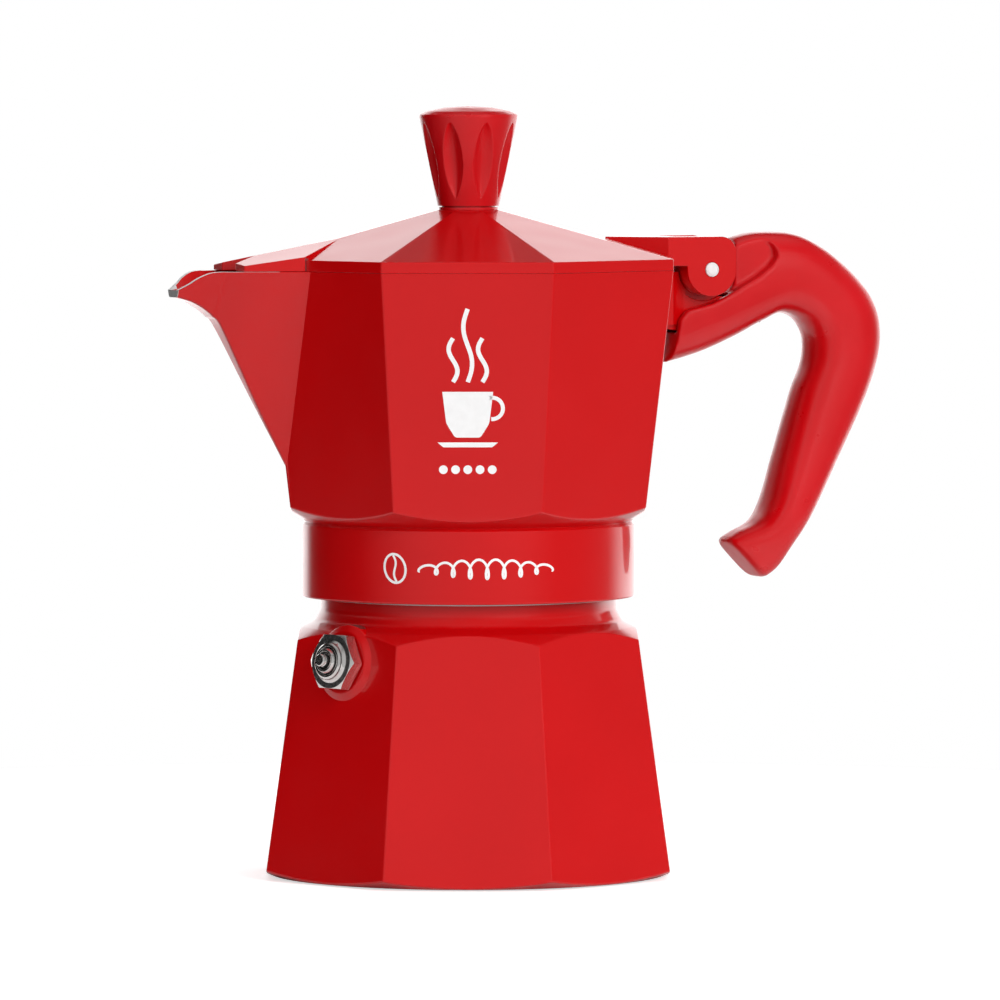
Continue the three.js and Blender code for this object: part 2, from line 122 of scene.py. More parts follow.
VALVE_Z = 45.5
VALVE_HEX = 11.1  # across flats
VALVE_OUT = Vector(joints["valve_relief"]["axis"]).normalized()

# The third index is the spout lips' bare metal, with a painted highlight.
LACQUER, BARE, GROUND_AND_HIGHLIGHT = 0, 1, 2  # material indices of the cast vessels


# ---- curves and outlines ----
def rounded(points, closed=False, steps=4):
    """Points are (x, y) or (x, y, radius); a corner with a radius becomes a curve of that radius."""
    out = []
    count = len(points)
    for i, point in enumerate(points):
        radius = point[2] if len(point) > 2 else 0
        here = Vector(point[:2])
        if radius == 0 or (not closed and i in (0, count - 1)):
            out.append((here.x, here.y))
            continue
        before = Vector(points[i - 1][:2]) - here
        after = Vector(points[(i + 1) % count][:2]) - here
        reach = radius / math.tan(before.angle(after) / 2)
        reach = min(reach, 0.45 * before.length, 0.45 * after.length)
        start = here + before.normalized() * reach
        end = here + after.normalized() * reach
        for s in range(steps + 1):
            t = s / steps
            bend = start * (1 - t) ** 2 + here * (2 * t * (1 - t)) + end * t ** 2
            out.append((bend.x, bend.y))
    return out


def arc(x, y, radius, start, end, count=16):
    """Points on an arc, with its angles in degrees."""
    turns = [math.radians(start + (end - start) * i / count) for i in range(count + 1)]
    return [(x + radius * math.cos(t), y + radius * math.sin(t)) for t in turns]


def meet(a, b, c, d):
    """The point where line a-b meets line c-d."""
    ab = (b[0] - a[0], b[1] - a[1])
    cd = (d[0] - c[0], d[1] - c[1])
    share = ((c[0] - a[0]) * cd[1] - (c[1] - a[1]) * cd[0]) / (ab[0] * cd[1] - ab[1] * cd[0])
    return a[0] + ab[0] * share, a[1] + ab[1] * share


def polygon(sides, corner=0.02, flat_steps=22, arc_steps=4):
    """A polygon of apothem 1 with rounded corners, one on +X; its points crowd at the corners."""
    half = math.pi / sides
    flat = (1 - corner) * math.tan(half)
    centre_reach = (1 - corner) / math.cos(half)
    out = []
    for side in range(sides):
        middle = (2 * side + 1) * half
        for s in range(flat_steps + 1):
            u = flat * math.sin(math.pi * (s / flat_steps - 0.5))
            out.append((math.cos(middle) - u * math.sin(middle), math.sin(middle) + u * math.cos(middle)))
        centre_turn = middle + half
        for s in range(1, arc_steps):
            turn = middle + 2 * half * s / arc_steps
            out.append((centre_reach * math.cos(centre_turn) + corner * math.cos(turn),
                        centre_reach * math.sin(centre_turn) + corner * math.sin(turn)))
    return out


def rectangle(x0, x1, y0, y1):
    return [(x0, y0), (x1, y0), (x1, y1), (x0, y1)]


def circle(count):
    return [(math.cos(2 * math.pi * i / count), math.sin(2 * math.pi * i / count)) for i in range(count)]


def spline(points, t):
    """A smooth curve through points of any dimension, at t from 0 to 1."""
    last = len(points) - 1
    place = min(t * last, last - 1e-9)
    i = int(place)
    u = place - i
    p0, p1, p2, p3 = (points[max(0, min(last, k))] for k in (i - 1, i, i + 1, i + 2))
    return [
        0.5 * (2 * b + (c - a) * u + (2 * a - 5 * b + 4 * c - d) * u ** 2 + (3 * b - a - 3 * c + d) * u ** 3)
        for a, b, c, d in zip(p0, p1, p2, p3)
    ]


# ---- meshes ----
@contextmanager
def edited(mesh):
    """A mesh opened for editing, and written back afterwards."""
    work = bmesh.new()
    work.from_mesh(mesh)
    yield work
    work.to_mesh(mesh)
    work.free()


def placed(name, data):
    """A new object in the scene."""
    obj = bpy.data.objects.new(name, data)
    bpy.context.scene.collection.objects.link(obj)
    return obj


def solid(name, verts, faces, place=None):
    """A closed mesh from points in millimetres, with its faces out."""
    mesh = bpy.data.meshes.new(name)
    mesh.from_pydata([Vector(v) * MM for v in verts], [], faces)
    obj = placed(name, mesh)
    with edited(mesh) as work:
        bmesh.ops.remove_doubles(work, verts=work.verts, dist=0.002 * MM)
        bmesh.ops.dissolve_degenerate(work, edges=work.edges, dist=0.001 * MM)
        bmesh.ops.recalc_face_normals(work, faces=work.faces)
    if place is not None:
        mesh.transform(place)
    return obj


def turned(name, outline, meridian, closed=False, place=None):
    """Sweeps a meridian, a function of the outline's reach that returns (radius, height) points."""
    columns = []
    for x, y in outline:
        reach = math.hypot(x, y)
        columns.append([(r * x / reach, r * y / reach, z) for r, z in meridian(reach)])
    rows = len(columns[0])
    verts = [v for column in columns for v in column]
    faces = []
    for i in range(len(columns)):
        j = (i + 1) % len(columns)
        for k in range(rows if closed else rows - 1):
            m = (k + 1) % rows
            faces.append((i * rows + k, j * rows + k, j * rows + m, i * rows + m))
    return solid(name, verts, faces, place)


def lathe(name, profile, segments=96, closed=False, place=None):
    """A round solid from its profile of (radius, height) points."""
    line = rounded(profile, closed)
    return turned(name, circle(segments), lambda reach: line, closed, place)


def rod(name, r, z0, z1, segments=48, place=None):
    return lathe(name, [(0, z0), (r, z0), (r, z1), (0, z1)], segments, place=place)


def lofts(name, groups):
    """Closed solids in one mesh, each through its rings of points, with a flat cap at each end."""
    verts, faces = [], []
    for rings in groups:
        around = len(rings[0])
        first = len(verts)
        verts.extend(v for ring in rings for v in ring)
        for i in range(len(rings) - 1):
            low, high = first + i * around, first + (i + 1) * around
            for k in range(around):
                m = (k + 1) % around
                faces.append((low + k, low + m, high + m, high + k))
        last = first + (len(rings) - 1) * around
        faces.append(tuple(first + k for k in range(around)))
        faces.append(tuple(last + k for k in reversed(range(around))))
    return solid(name, verts, faces)


def loft(name, rings):
    return lofts(name, [rings])


def plate(name, outline, y0, y1):
    """An outline in the XZ plane, extruded from y0 to y1."""
    return loft(name, [[(x, y, z) for x, z in outline] for y in (y0, y1)])


def prism(name, outline, z0, z1):
    """An outline in the XY plane, extruded from z0 to z1."""
    return loft(name, [[(x, y, z) for x, y in outline] for z in (z0, z1)])


def hull(name, points):
    """The smallest convex solid that holds the points."""
    obj = solid(name, points, [])
    with edited(obj.data) as work:
        bmesh.ops.convex_hull(work, input=work.verts)
        bmesh.ops.dissolve_limit(work, angle_limit=0.01, verts=work.verts, edges=work.edges)
        bmesh.ops.recalc_face_normals(work, faces=work.faces)
    return obj


def settle(obj):
    """Applies the object's modifiers to its mesh."""
    bpy.context.view_layer.update()
    graph = bpy.context.evaluated_depsgraph_get()
    mesh = bpy.data.meshes.new_from_object(obj.evaluated_get(graph))
    obj.modifiers.clear()
    old = obj.data
    obj.data = mesh
    bpy.data.meshes.remove(old)
    return obj


def boolean(target, other, operation):
    modifier = target.modifiers.new(operation, "BOOLEAN")
    modifier.operation = operation
    modifier.object = other
    modifier.solver = "EXACT"
    settle(target)
    bpy.data.objects.remove(other)
    return target


def cut(target, *others):
    for other in others:
        boolean(target, other, "DIFFERENCE")
    return target


def join(target, *others):
    for other in others:
        boolean(target, other, "UNION")
    return target


def bevel(obj, width, degrees=35, segments=3):
    """Rounds the edges that turn by more than an angle."""
    modifier = obj.modifiers.new("bevel", "BEVEL")
    modifier.width = width * MM
    modifier.segments = segments
    modifier.limit_method = "ANGLE"
    modifier.angle_limit = math.radians(degrees)
    return settle(obj)


def merge_flats(obj):
    """Joins the faces of one material that lie in one plane, so that each facet is shaded as one."""
    with edited(obj.data) as work:
        bmesh.ops.dissolve_limit(
            work, angle_limit=0.0004, verts=work.verts, edges=work.edges, delimit={"MATERIAL"})
    return obj


def weld(obj):
    """Joins corners that a cut left a hair apart."""
    with edited(obj.data) as work:
        bmesh.ops.remove_doubles(work, verts=work.verts, dist=0.003 * MM)
    return obj


def mirrored(points):
    """The points with their mirror images across Y = 0."""
    return [(x, y * side, z) for x, y, z in points for side in ((1, -1) if y else (1,))]


def shade(obj, sharp_degrees=32, even=True):
    """Smooth shading with creases where the surface turns sharply; even=True also keeps flats flat."""
    limit = math.radians(sharp_degrees)
    with edited(obj.data) as work:
        for face in work.faces:
            face.smooth = True
        for edge in work.edges:
            edge.smooth = len(edge.link_faces) == 2 and edge.calc_face_angle(0) < limit
    if even:
        modifier = obj.modifiers.new("normals", "WEIGHTED_NORMAL")
        modifier.mode = "FACE_AREA"
        modifier.weight = 60
        modifier.keep_sharp = True
    return obj


def finish(obj, body, slot, materials, *nodes):
    """Gives a piece its materials and its body, and hides the CAD nodes it stands for; the slot is not used.
    """
    for material in materials:
        obj.data.materials.append(material)
    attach(obj, body)
    if nodes:
        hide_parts(*nodes)
    return obj


def paint(obj, rule):
    """Sets each face's material index from its centre, in millimetres, and its normal."""
    for face in obj.data.polygons:
        face.material_index = rule(face.center / MM, face.normal)
    return obj


# ---- materials ----
class Finish:
    """A material whose nodes are added step by step around one Principled shader."""

    def __init__(self, name, colour, roughness, metallic=0.0):
        self.material = bpy.data.materials.new(name)
        self.material.use_nodes = True
        self.nodes = self.material.node_tree.nodes
        self.links = self.material.node_tree.links
        self.shader = self.nodes["Principled BSDF"]
        self.shader.inputs["Base Color"].default_value = (*colour, 1)
        self.shader.inputs["Roughness"].default_value = roughness
        self.shader.inputs["Metallic"].default_value = metallic
        self.place = self.nodes.new("ShaderNodeTexCoord").outputs["Object"]
        self.height = None

    def set(self, **values):
        for name, value in values.items():
            self.shader.inputs[name.replace("_", " ")].default_value = value

    def noise(self, size_mm, detail=3.0, stretch=(1, 1, 1)):
        """Noise with features of about that size, from 0 to 1."""
        mapping = self.nodes.new("ShaderNodeMapping")
        mapping.inputs["Scale"].default_value = [s / (size_mm * MM) for s in stretch]
        texture = self.nodes.new("ShaderNodeTexNoise")
        texture.inputs["Scale"].default_value = 1.0
        texture.inputs["Detail"].default_value = detail
        self.links.new(self.place, mapping.inputs["Vector"])
        self.links.new(mapping.outputs["Vector"], texture.inputs["Vector"])
        return texture.outputs["Fac"]

    def turning_lines(self, pitch_mm):
        """Fine rings around Z, as a lathe or a spinning die leaves them."""
        texture = self.nodes.new("ShaderNodeTexWave")
        texture.wave_type = "RINGS"
        texture.rings_direction = "Z"
        texture.inputs["Scale"].default_value = 0.3 / (pitch_mm * MM)
        texture.inputs["Distortion"].default_value = 0.15
        self.links.new(self.place, texture.inputs["Vector"])
        return texture.outputs["Fac"]

    def vary(self, name, low, high, source, start=0.3, end=0.7):
        """Drives one of the shader's inputs between two colours or levels, as the source goes up."""
        node = self.nodes.new("ShaderNodeValToRGB")
        node.color_ramp.elements[0].position = start
        node.color_ramp.elements[1].position = end
        for element, value in zip(node.color_ramp.elements, (low, high)):
            colour = value if hasattr(value, "__len__") else (value, value, value)
            element.color = (*colour, 1)
        self.links.new(source, node.inputs["Fac"])
        self.links.new(node.outputs["Color"], self.shader.inputs[name])

    def bump(self, source, depth_mm, strength=1.0):
        node = self.nodes.new("ShaderNodeBump")
        node.inputs["Strength"].default_value = strength
        node.inputs["Distance"].default_value = depth_mm * MM
        self.links.new(source, node.inputs["Height"])
        if self.height is not None:
            self.links.new(self.height, node.inputs["Normal"])
        self.height = node.outputs["Normal"]
        self.links.new(self.height, self.shader.inputs["Normal"])


def red_lacquer():
    """Glossy enamel: a clear coat over deep red, barely uneven, with a faint orange peel."""
    made = Finish("red_lacquer", (0.60, 0.0008, 0.002), 0.3)
    made.set(IOR=1.45, Coat_Weight=0.6, Coat_Roughness=0.04, Coat_IOR=1.5, Specular_IOR_Level=0.3)
    made.vary("Base Color", (0.585, 0.0006, 0.0018), (0.64, 0.0015, 0.003), made.noise(22, 0), 0, 1)
    made.vary("Roughness", 0.27, 0.34, made.noise(9, 0), 0, 1)
    made.bump(made.noise(5, 1), 0.004, 0.06)
    made.bump(made.noise(18, 1), 0.01, 0.06)
    return made.material


def red_plastic():
    """Satin moulded plastic of the handle and knob, with a fine grain."""
    made = Finish("red_plastic", (0.52, 0.002, 0.006), 0.34)
    made.set(IOR=1.5, Coat_Weight=0.25, Coat_Roughness=0.18)
    made.vary("Base Color", (0.59, 0.001, 0.004), (0.65, 0.003, 0.008), made.noise(15))
    made.vary("Roughness", 0.27, 0.42, made.noise(4, 6))
    made.bump(made.noise(0.8, 3), 0.006, 0.15)
    return made.material


def bare_aluminium():
    """Cast aluminium inside the vessels: greyish, softly uneven, faintly stained by coffee."""
    made = Finish("bare_aluminium", (0.66, 0.66, 0.67), 0.4, 1.0)
    made.vary("Base Color", (0.60, 0.585, 0.56), (0.72, 0.72, 0.73), made.noise(12, 5))
    made.vary("Roughness", 0.32, 0.52, made.noise(3, 6))
    made.bump(made.turning_lines(0.6), 0.004, 0.4)
    made.bump(made.noise(0.6, 4), 0.006, 0.4)
    return made.material


def bright_steel():
    """Polished steel of the pin, screws and spring, with hairline scratches."""
    made = Finish("bright_steel", (0.78, 0.78, 0.79), 0.2, 1.0)
    made.vary("Base Color", (0.72, 0.72, 0.73), (0.84, 0.84, 0.85), made.noise(3))
    made.vary("Roughness", 0.14, 0.3, made.noise(0.8, 6))
    made.bump(made.noise(0.3, 3, (1, 1, 12)), 0.002, 0.4)
    return made.material


def valve_metal():
    """Nickel plate of the safety valve, bright with light turning marks."""
    made = Finish("valve_metal", (0.84, 0.82, 0.80), 0.12, 0.96)
    made.vary("Base Color", (0.80, 0.78, 0.76), (0.92, 0.90, 0.88), made.noise(2.5))
    made.vary("Roughness", 0.08, 0.2, made.noise(0.7, 6))
    made.bump(made.noise(0.4, 3), 0.002, 0.4)
    return made.material


def blasted_and_shaded_metal():
    """The front face of the valve's hexagon: rough and blasted, and painted dark as shade, for the dark
    reflection this face shows.
    """
    # Painted shade: the dark base colour stands for the dark reflection on this face.
    made = Finish("blasted_and_shaded_metal", (0.2, 0.2, 0.2), 0.5, 0.9)
    made.vary("Base Color", 0.06, (0.22, 0.215, 0.21), made.noise(0.5, 4))
    made.vary("Roughness", 0.4, 0.6, made.noise(0.6, 4))
    made.bump(made.noise(0.35, 3), 0.02, 0.6)
    return made.material


def ground_metal_and_highlight():
    """The spout's lips, where grinding has left the metal bare and matt; their bright near-white colour is a
    painted highlight, for the white reflection along the lips.
    """
    # Painted highlight: a near-white, mostly diffuse colour in place of the lips' reflection.
    made = Finish("ground_metal_and_highlight", (0.93, 0.92, 0.92), 0.5, 0.3)
    made.vary("Roughness", 0.4, 0.55, made.noise(1.5, 3))
    return made.material


def seal_rubber():
    """Off-white silicone seals, matt and slightly dusty."""
    made = Finish("seal_rubber", (0.78, 0.74, 0.66), 0.75)
    made.vary("Base Color", (0.70, 0.65, 0.56), (0.82, 0.79, 0.72), made.noise(5, 5))
    made.vary("Roughness", 0.62, 0.85, made.noise(2, 5))
    made.bump(made.noise(0.5, 4), 0.01, 0.5)
    return made.material


def pin_highlight_metal():
    """The hinge pin's metal, painted near white as a highlight, for the bright reflection on its ends."""
    # Painted highlight: a near-white, mostly diffuse colour in place of the steel's reflection.
    made = Finish("pin_highlight_metal", (0.95, 0.95, 0.95), 0.4, 0.15)
    made.vary("Base Color", 0.90, 0.97, made.noise(1.2))
    made.vary("Roughness", 0.3, 0.5, made.noise(0.6, 5))
    made.bump(made.noise(0.4, 3), 0.003, 0.4)
    return made.material


def white_print():
    """White screen-printed ink, slightly uneven."""
    made = Finish("white_print", (0.9, 0.9, 0.9), 0.45)
    made.vary("Base Color", 0.92, 0.98, made.noise(2, 4))
    made.vary("Roughness", 0.35, 0.55, made.noise(1, 4))
    made.bump(made.noise(0.3, 3), 0.003, 0.4)
    return made.material


lacquer = red_lacquer()
plastic = red_plastic()
aluminium = bare_aluminium()
ground_and_highlight = ground_metal_and_highlight()
steel = bright_steel()
nickel = valve_metal()
blasted_and_shaded = blasted_and_shaded_metal()
rubber = seal_rubber()
ink = white_print()
pin_highlight = pin_highlight_metal()
octagon = polygon(SIDES)


# ---- the screw thread ----
def helix(name, section, turns, per_turn, z0, pitch, start=0, runout=0):
    """A section of (radius, height) points wound round Z; over the runout's steps it rises from its foot."""
    steps = round(per_turn * turns)
    foot = section[0][0]
    rings = []
    for i in range(steps + 1):
        turn = start + 2 * math.pi * i / per_turn
        share = 0.35 + 0.65 * min(1, i / runout, (steps - i) / runout) if runout else 1
        ring = []
        for radius, dz in section:
            reach = foot + (radius - foot) * share
            ring.append((reach * math.cos(turn), reach * math.sin(turn), z0 + pitch * i / per_turn + dz))
        rings.append(ring)
    return loft(name, rings)


def thread(name, r, side, z0):
    """A helical ridge on a round wall: side +1 stands out from radius r, side -1 stands in."""
    pitch, turns, sunk, proud = 3, 1.6, 0.4, 1.25
    base, crest = r - side * sunk, r + side * proud
    section = [(base, -0.8), (crest, -0.4), (crest, 0.4), (base, 0.8)]
    return shade(helix(name, section, turns, 96, z0, pitch, start=0.05, runout=10))


# ---- boiler ----
facet_lean = (BASE_APOTHEM - SHOULDER_APOTHEM) / SHOULDER_Z
valve_apothem = BASE_APOTHEM - VALVE_Z * facet_lean
valve_flat = Vector((VALVE_OUT.x, VALVE_OUT.y)).normalized()
valve_point = Vector((valve_flat.x * valve_apothem, valve_flat.y * valve_apothem, VALVE_Z))


def at_valve():
    """The place of a valve piece turned about +Z: its axis square to the leaning facet."""
    level = Vector((0, 0, 1)).cross(VALVE_OUT).normalized()
    upright = VALVE_OUT.cross(level)
    turn = Matrix((level, upright, VALVE_OUT)).transposed().to_4x4()
    return Matrix.Translation(valve_point * MM) @ turn


def boiler():
    foot_in, foot_out = (41.4, 0), (46.6, 2.2)
    shoulder_out, shoulder_in = (46.6, 44.2), (34.8, 51.8)
    bare_from = 57.6  # the neck above this height has no lacquer

    def meridian(reach):
        bottom, top = (reach * BASE_APOTHEM, 0), (reach * SHOULDER_APOTHEM, SHOULDER_Z)
        low = meet(bottom, top, foot_in, foot_out)
        high = meet(bottom, top, shoulder_out, shoulder_in)
        return rounded([
            (0, 0), (22, 0, 0.2), (23, 0.6, 0.2), (33, 0.6, 0.2), (34, 0, 0.2), (*foot_in, 0.6),
            (*low, 0.5), (*high, 0.6), (*shoulder_in, 0.5), (32.2, 53.1, 2), (NECK_R, 55.4, 2),
            (NECK_R, bare_from), (NECK_R, NECK_TOP, 0.4), (28.6, NECK_TOP, 0.4), (28.9, 54.5, 2),
            (32.1, 47.3, 3), (37.6, 6, 3), (34.5, FLOOR_Z, 2), (0, FLOOR_Z),
        ])

    shell = turned("boiler_body", octagon, meridian)
    boss = lathe("boss", [(0, -3), (8.2, -3), (8, -0.1, 0.6), (6.4, 0.8, 1.2), (0, 0.8)], 72,
                 place=at_valve())
    bore = lathe("bore", [(0, -9), (4.4, -9), (4.4, 3), (0, 3)], 48, place=at_valve())
    cut(join(shell, boss), bore)

    def rule(centre, normal):
        across = math.hypot(centre.x, centre.y)
        inward = centre.x * normal.x + centre.y * normal.y < -0.1 * across
        underside = centre.z < 0.7 and normal.z < -0.8 and across < foot_in[0] - 0.2
        inside = centre.z > FLOOR_Z - 0.1 and (inward or normal.z > 0.9) and across < 38
        return BARE if centre.z > bare_from or underside or inside else LACQUER

    finish(shade(merge_flats(paint(shell, rule))), "boiler", "red_lacquer", (lacquer, aluminium), "boiler")
    finish(thread("boiler_thread", NECK_R, 1, 60.2), "boiler", "bare_aluminium", (aluminium,))


# ---- safety valve ----
def safety_valve():
    """The valve's body, cap, stem and disc; heights are measured out from the boiler's facet."""
    across = VALVE_HEX / 2
    chamfer_low, chamfer_mid = (6.2, 1.2), (6.9, 1.6)
    chamfer_top, chamfer_out = (5.6, 4.0), (6.9, 3.3)

    def meridian(reach):
        wall = reach * across
        low = meet((wall, 0), (wall, 5), chamfer_low, chamfer_mid)
        high = meet((wall, 0), (wall, 5), chamfer_out, chamfer_top)
        low = (wall, max(low[1], 1.2))
        return rounded([
            (1.6, -6.5, 0.1), (4.1, -6.5, 0.3), (4.1, 1.2), (min(wall, 5.6) - 0.1, 1.2, 0.05),
            (*low, 0.08), (wall, min(high[1], 3.9), 0.12), (5.55, 4.02, 0.08), (4.4, 4.0, 0.3),
            (3.8, 4.5, 0.4), (3.8, 5.0, 0.2), (3.4, 5.3, 0.2), (2.9, 5.3, 0.1), (2.9, -4.5), (1.6, -4.5),
        ], closed=True)

    hexagon = polygon(6, 0.01, 16, 3)
    body = turned("valve_hex", hexagon, meridian, closed=True, place=at_valve())

    def rule(centre, normal):
        """The hexagon's front face takes the second material, the one painted dark as shade."""
        ahead = (centre - valve_point).dot(VALVE_OUT)
        return 1 if normal.dot(VALVE_OUT) > 0.97 and 3.5 < ahead < 4.2 else 0

    finish(shade(paint(body, rule)), "boiler", "valve_metal", (nickel, blasted_and_shaded), "valve_body")

    cap = lathe("valve_crimp", [
        (1.9, 3.2), (2.6, 3.2), (2.6, 5.6, 0.2), (2.35, 6.1, 0.15), (1.9, 6.1, 0.1),
    ], 64, closed=True, place=at_valve())
    finish(shade(cap), "boiler", "valve_metal", (nickel,), "valve_cap")

    stem = lathe("valve_stem", [
        (0, -3.2), (2.5, -3.2, 0.1), (2.5, -2.1, 0.1), (1.3, -2.1), (1.3, 6.5, 0.05), (1.05, 6.62, 0.05),
        (1.05, 6.78, 0.05), (1.3, 6.9, 0.05), (1.3, 7.2, 0.1), (1.1, 7.4, 0.08), (0, 7.4),
    ], 48, place=at_valve())
    finish(shade(stem), "valve_plunger", "valve_metal", (nickel,), "valve_plunger")

    disc = lathe("valve_disc", [(0, -4.2), (2.4, -4.2, 0.15), (2.4, -3.5, 0.15), (0, -3.5)], 48,
                 place=at_valve())
    finish(shade(disc), "valve_plunger", "seal_rubber", (rubber,), "valve_seal")


def relief_spring():
    """A wire coil between the stem's head and the cap."""
    turns, coil_r, wire_r, low, high = 4, 2.1, 0.3, -1.5, 2.7
    section = [(coil_r + wire_r * aside, wire_r * up) for aside, up in circle(12)]
    coil = helix("relief_spring", section, turns, 32, low, (high - low) / turns)
    coil.data.transform(at_valve())
    finish(shade(coil), "boiler", "bright_steel", (steel,), "valve_spring")
    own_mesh(coil)


# ---- funnel, gasket and filter ----
def perforated(name, r, z0, z1, hole_r, spacing):
    """A thin disc with rings of round holes."""
    disc = lathe(name, [(0, z0), (r, z0, 0.15), (r, z1, 0.15), (0, z1)])
    holes = []
    for ring in range(4):
        for dx, dy in circle(max(1, 6 * ring)):
            x, y = spacing * ring * dx, spacing * ring * dy
            outline = [(x + hole_r * cx, y + hole_r * cy) for cx, cy in circle(20)]
            holes.append([[(hx, hy, z) for hx, hy in outline] for z in (z0 - 1, z1 + 1)])
    return shade(cut(disc, lofts("holes", holes)))


def brew_parts():
    """The coffee funnel with its sieve, the filter plate and the gasket."""
    seat = NECK_TOP + GAP
    funnel = lathe("coffee_funnel", [
        (3.7, 7, 0.1), (4.6, 7, 0.1), (4.6, 36, 3), (27.4, 46.5, 2), (27.4, seat, 0.4), (31, seat, 0.3),
        (31, seat + 0.9, 0.3), (26.5, seat + 0.9, 0.5), (26.5, 47, 1.4), (3.7, 36.4, 2),
    ], closed=True)
    finish(shade(funnel), "funnel", "bare_aluminium", (aluminium,), "funnel")
    low, high = span("funnel_sieve")
    sieve = perforated("coffee_sieve", high.x, low.z, high.z, 1, 6.2)
    finish(sieve, "funnel", "bare_aluminium", (aluminium,), "funnel_sieve")
    low, high = span("filter_plate")
    filter_disc = perforated("filter_disc", high.x, low.z, high.z, 0.9, 5.8)
    finish(filter_disc, "seal_pack", "bare_aluminium", (aluminium,), "filter_plate")
    low, high = span("gasket")
    seal = lathe("seal_ring", [
        (22.8, low.z, 0.3), (high.x, low.z, 0.4), (high.x, high.z, 0.4), (25.6, high.z, 0.3),
        (25.6, 69.4, 0.1), (22.8, 69.4, 0.3),
    ], closed=True)
    finish(shade(seal), "seal_pack", "seal_rubber", (rubber,), "gasket")


# ---- collector ----
collector_lean = (RIM_APOTHEM - WAIST_APOTHEM) / (RIM_Z - WAIST_Z)

# The spout in slices: distance out along -X, keel height, half the keel, half the mouth, lip height,
# thickness over the keel.
SPOUT = [
    (38, 80.4, 0.2, 14, RIM_Z, 4.2),
    (41.1, 86.1, 0.4, 13.1, RIM_Z, 4.2),
    (48.1, 99.2, 1.2, 10.7, RIM_Z, 4.2),
    (55.7, 114.2, 2.4, 8.2, RIM_Z, 4),
    (57.9, 116.9, 2.7, 7.5, RIM_Z, 3.1),
    (59.9, 118.5, 2.8, 6.7, 125.9, 2.6),
    (62, 119.7, 2.9, 5.6, 124.9, 2.2),
    (63.6, 120.3, 2.8, 4.5, 123.7, 1.9),
    (65.7, 120.9, 2.3, 3, 122.4, 1.5),
]
SPOUT_SIDE = 1.5  # thickness of the lips


def spout_slices(count):
    """The slices on smooth curves through the ones above."""
    return [spline(SPOUT, i / count) for i in range(count + 1)]


def spout():
    """The channel: a trough whose walls narrow to the lip, with rounded keel and lips."""
    rings = []
    for x, keel, narrow, wide, lip, floor in spout_slices(72):
        side = min(SPOUT_SIDE, 0.34 * wide)
        bed = 0.5 * narrow + 0.1
        section = rounded([
            (wide, lip, 0.15), (wide - side, lip, 0.15), (bed, keel + floor, 1.2),
            (-bed, keel + floor, 1.2), (side - wide, lip, 0.15), (-wide, lip, 0.15),
            (-narrow, keel, 0.9), (narrow, keel, 0.9),
        ], closed=True)
        rings.append([(-x, y, z) for y, z in section])
    return loft("spout", rings)


def spout_window():
    """What the channel needs cut from the pot's wall: the middle of the trough's thickness."""
    rings = []
    for x, keel, narrow, wide, lip, floor in spout_slices(24)[:16]:
        half = wide - 0.5 * SPOUT_SIDE
        bed = 0.7 * narrow
        middle = keel + 0.5 * floor
        rings.append([(-x, half, lip + 2), (-x, bed, middle), (-x, -bed, middle), (-x, -half, lip + 2)])
    rings.insert(0, [(-33, y, z) for _, y, z in rings[0]])
    return loft("window", rings)


def bracket():
    """The arm under the handle, its hinge knuckle, and the root that flares into the wall."""
    flare = 5
    outline = rounded([
        (40, 113.6), (47, 112.6, 2), (52, 112.9, 3), (68, 119.9, 0.5), (68, 122.8, 0.5), (58, 119.6, 3),
    ]) + arc(PIN_X, PIN_Z, 6.6, -59.4, -176.4) + [(40, 125.4)]
    arm = bevel(plate("arm", outline, -TONGUE_HALF, TONGUE_HALF), 0.3)
    flank = arc(47, TONGUE_HALF + flare, flare, 180, 270, 12)
    side = [(38, TONGUE_HALF + flare)] + flank
    plan = side + [(x, -y) for x, y in reversed(side)]
    root = cut(prism("root", plan, 114.2, 125.2), across_pin("ear_swing", EAR_R + GAP))
    nose = [(46, 117), (PIN_X + 3, 117.6), (PIN_X + 4.2, PIN_Z - 2.3)]
    nose += arc(PIN_X, PIN_Z, 4.8, -28.8, 180, 32)
    knuckle = bevel(plate("knuckle", nose, GAP - EAR_IN, EAR_IN - GAP), 0.25)
    return join(arm, knuckle, root)


def at_pin():
    """The place of a piece turned about +Z: its axis along the hinge pin."""
    return Matrix.Translation(Vector((PIN_X, 0, PIN_Z)) * MM) @ Matrix.Rotation(math.pi / 2, 4, "X")


def across_pin(name, r):
    """A cutting rod along the hinge pin's axis."""
    return rod(name, r, -THROUGH, THROUGH, place=at_pin())


def at_screw():
    """The place of a piece turned about +Z: its axis along the handle's screw."""
    return Matrix.Translation((SCREW_X * MM, 0, 0))


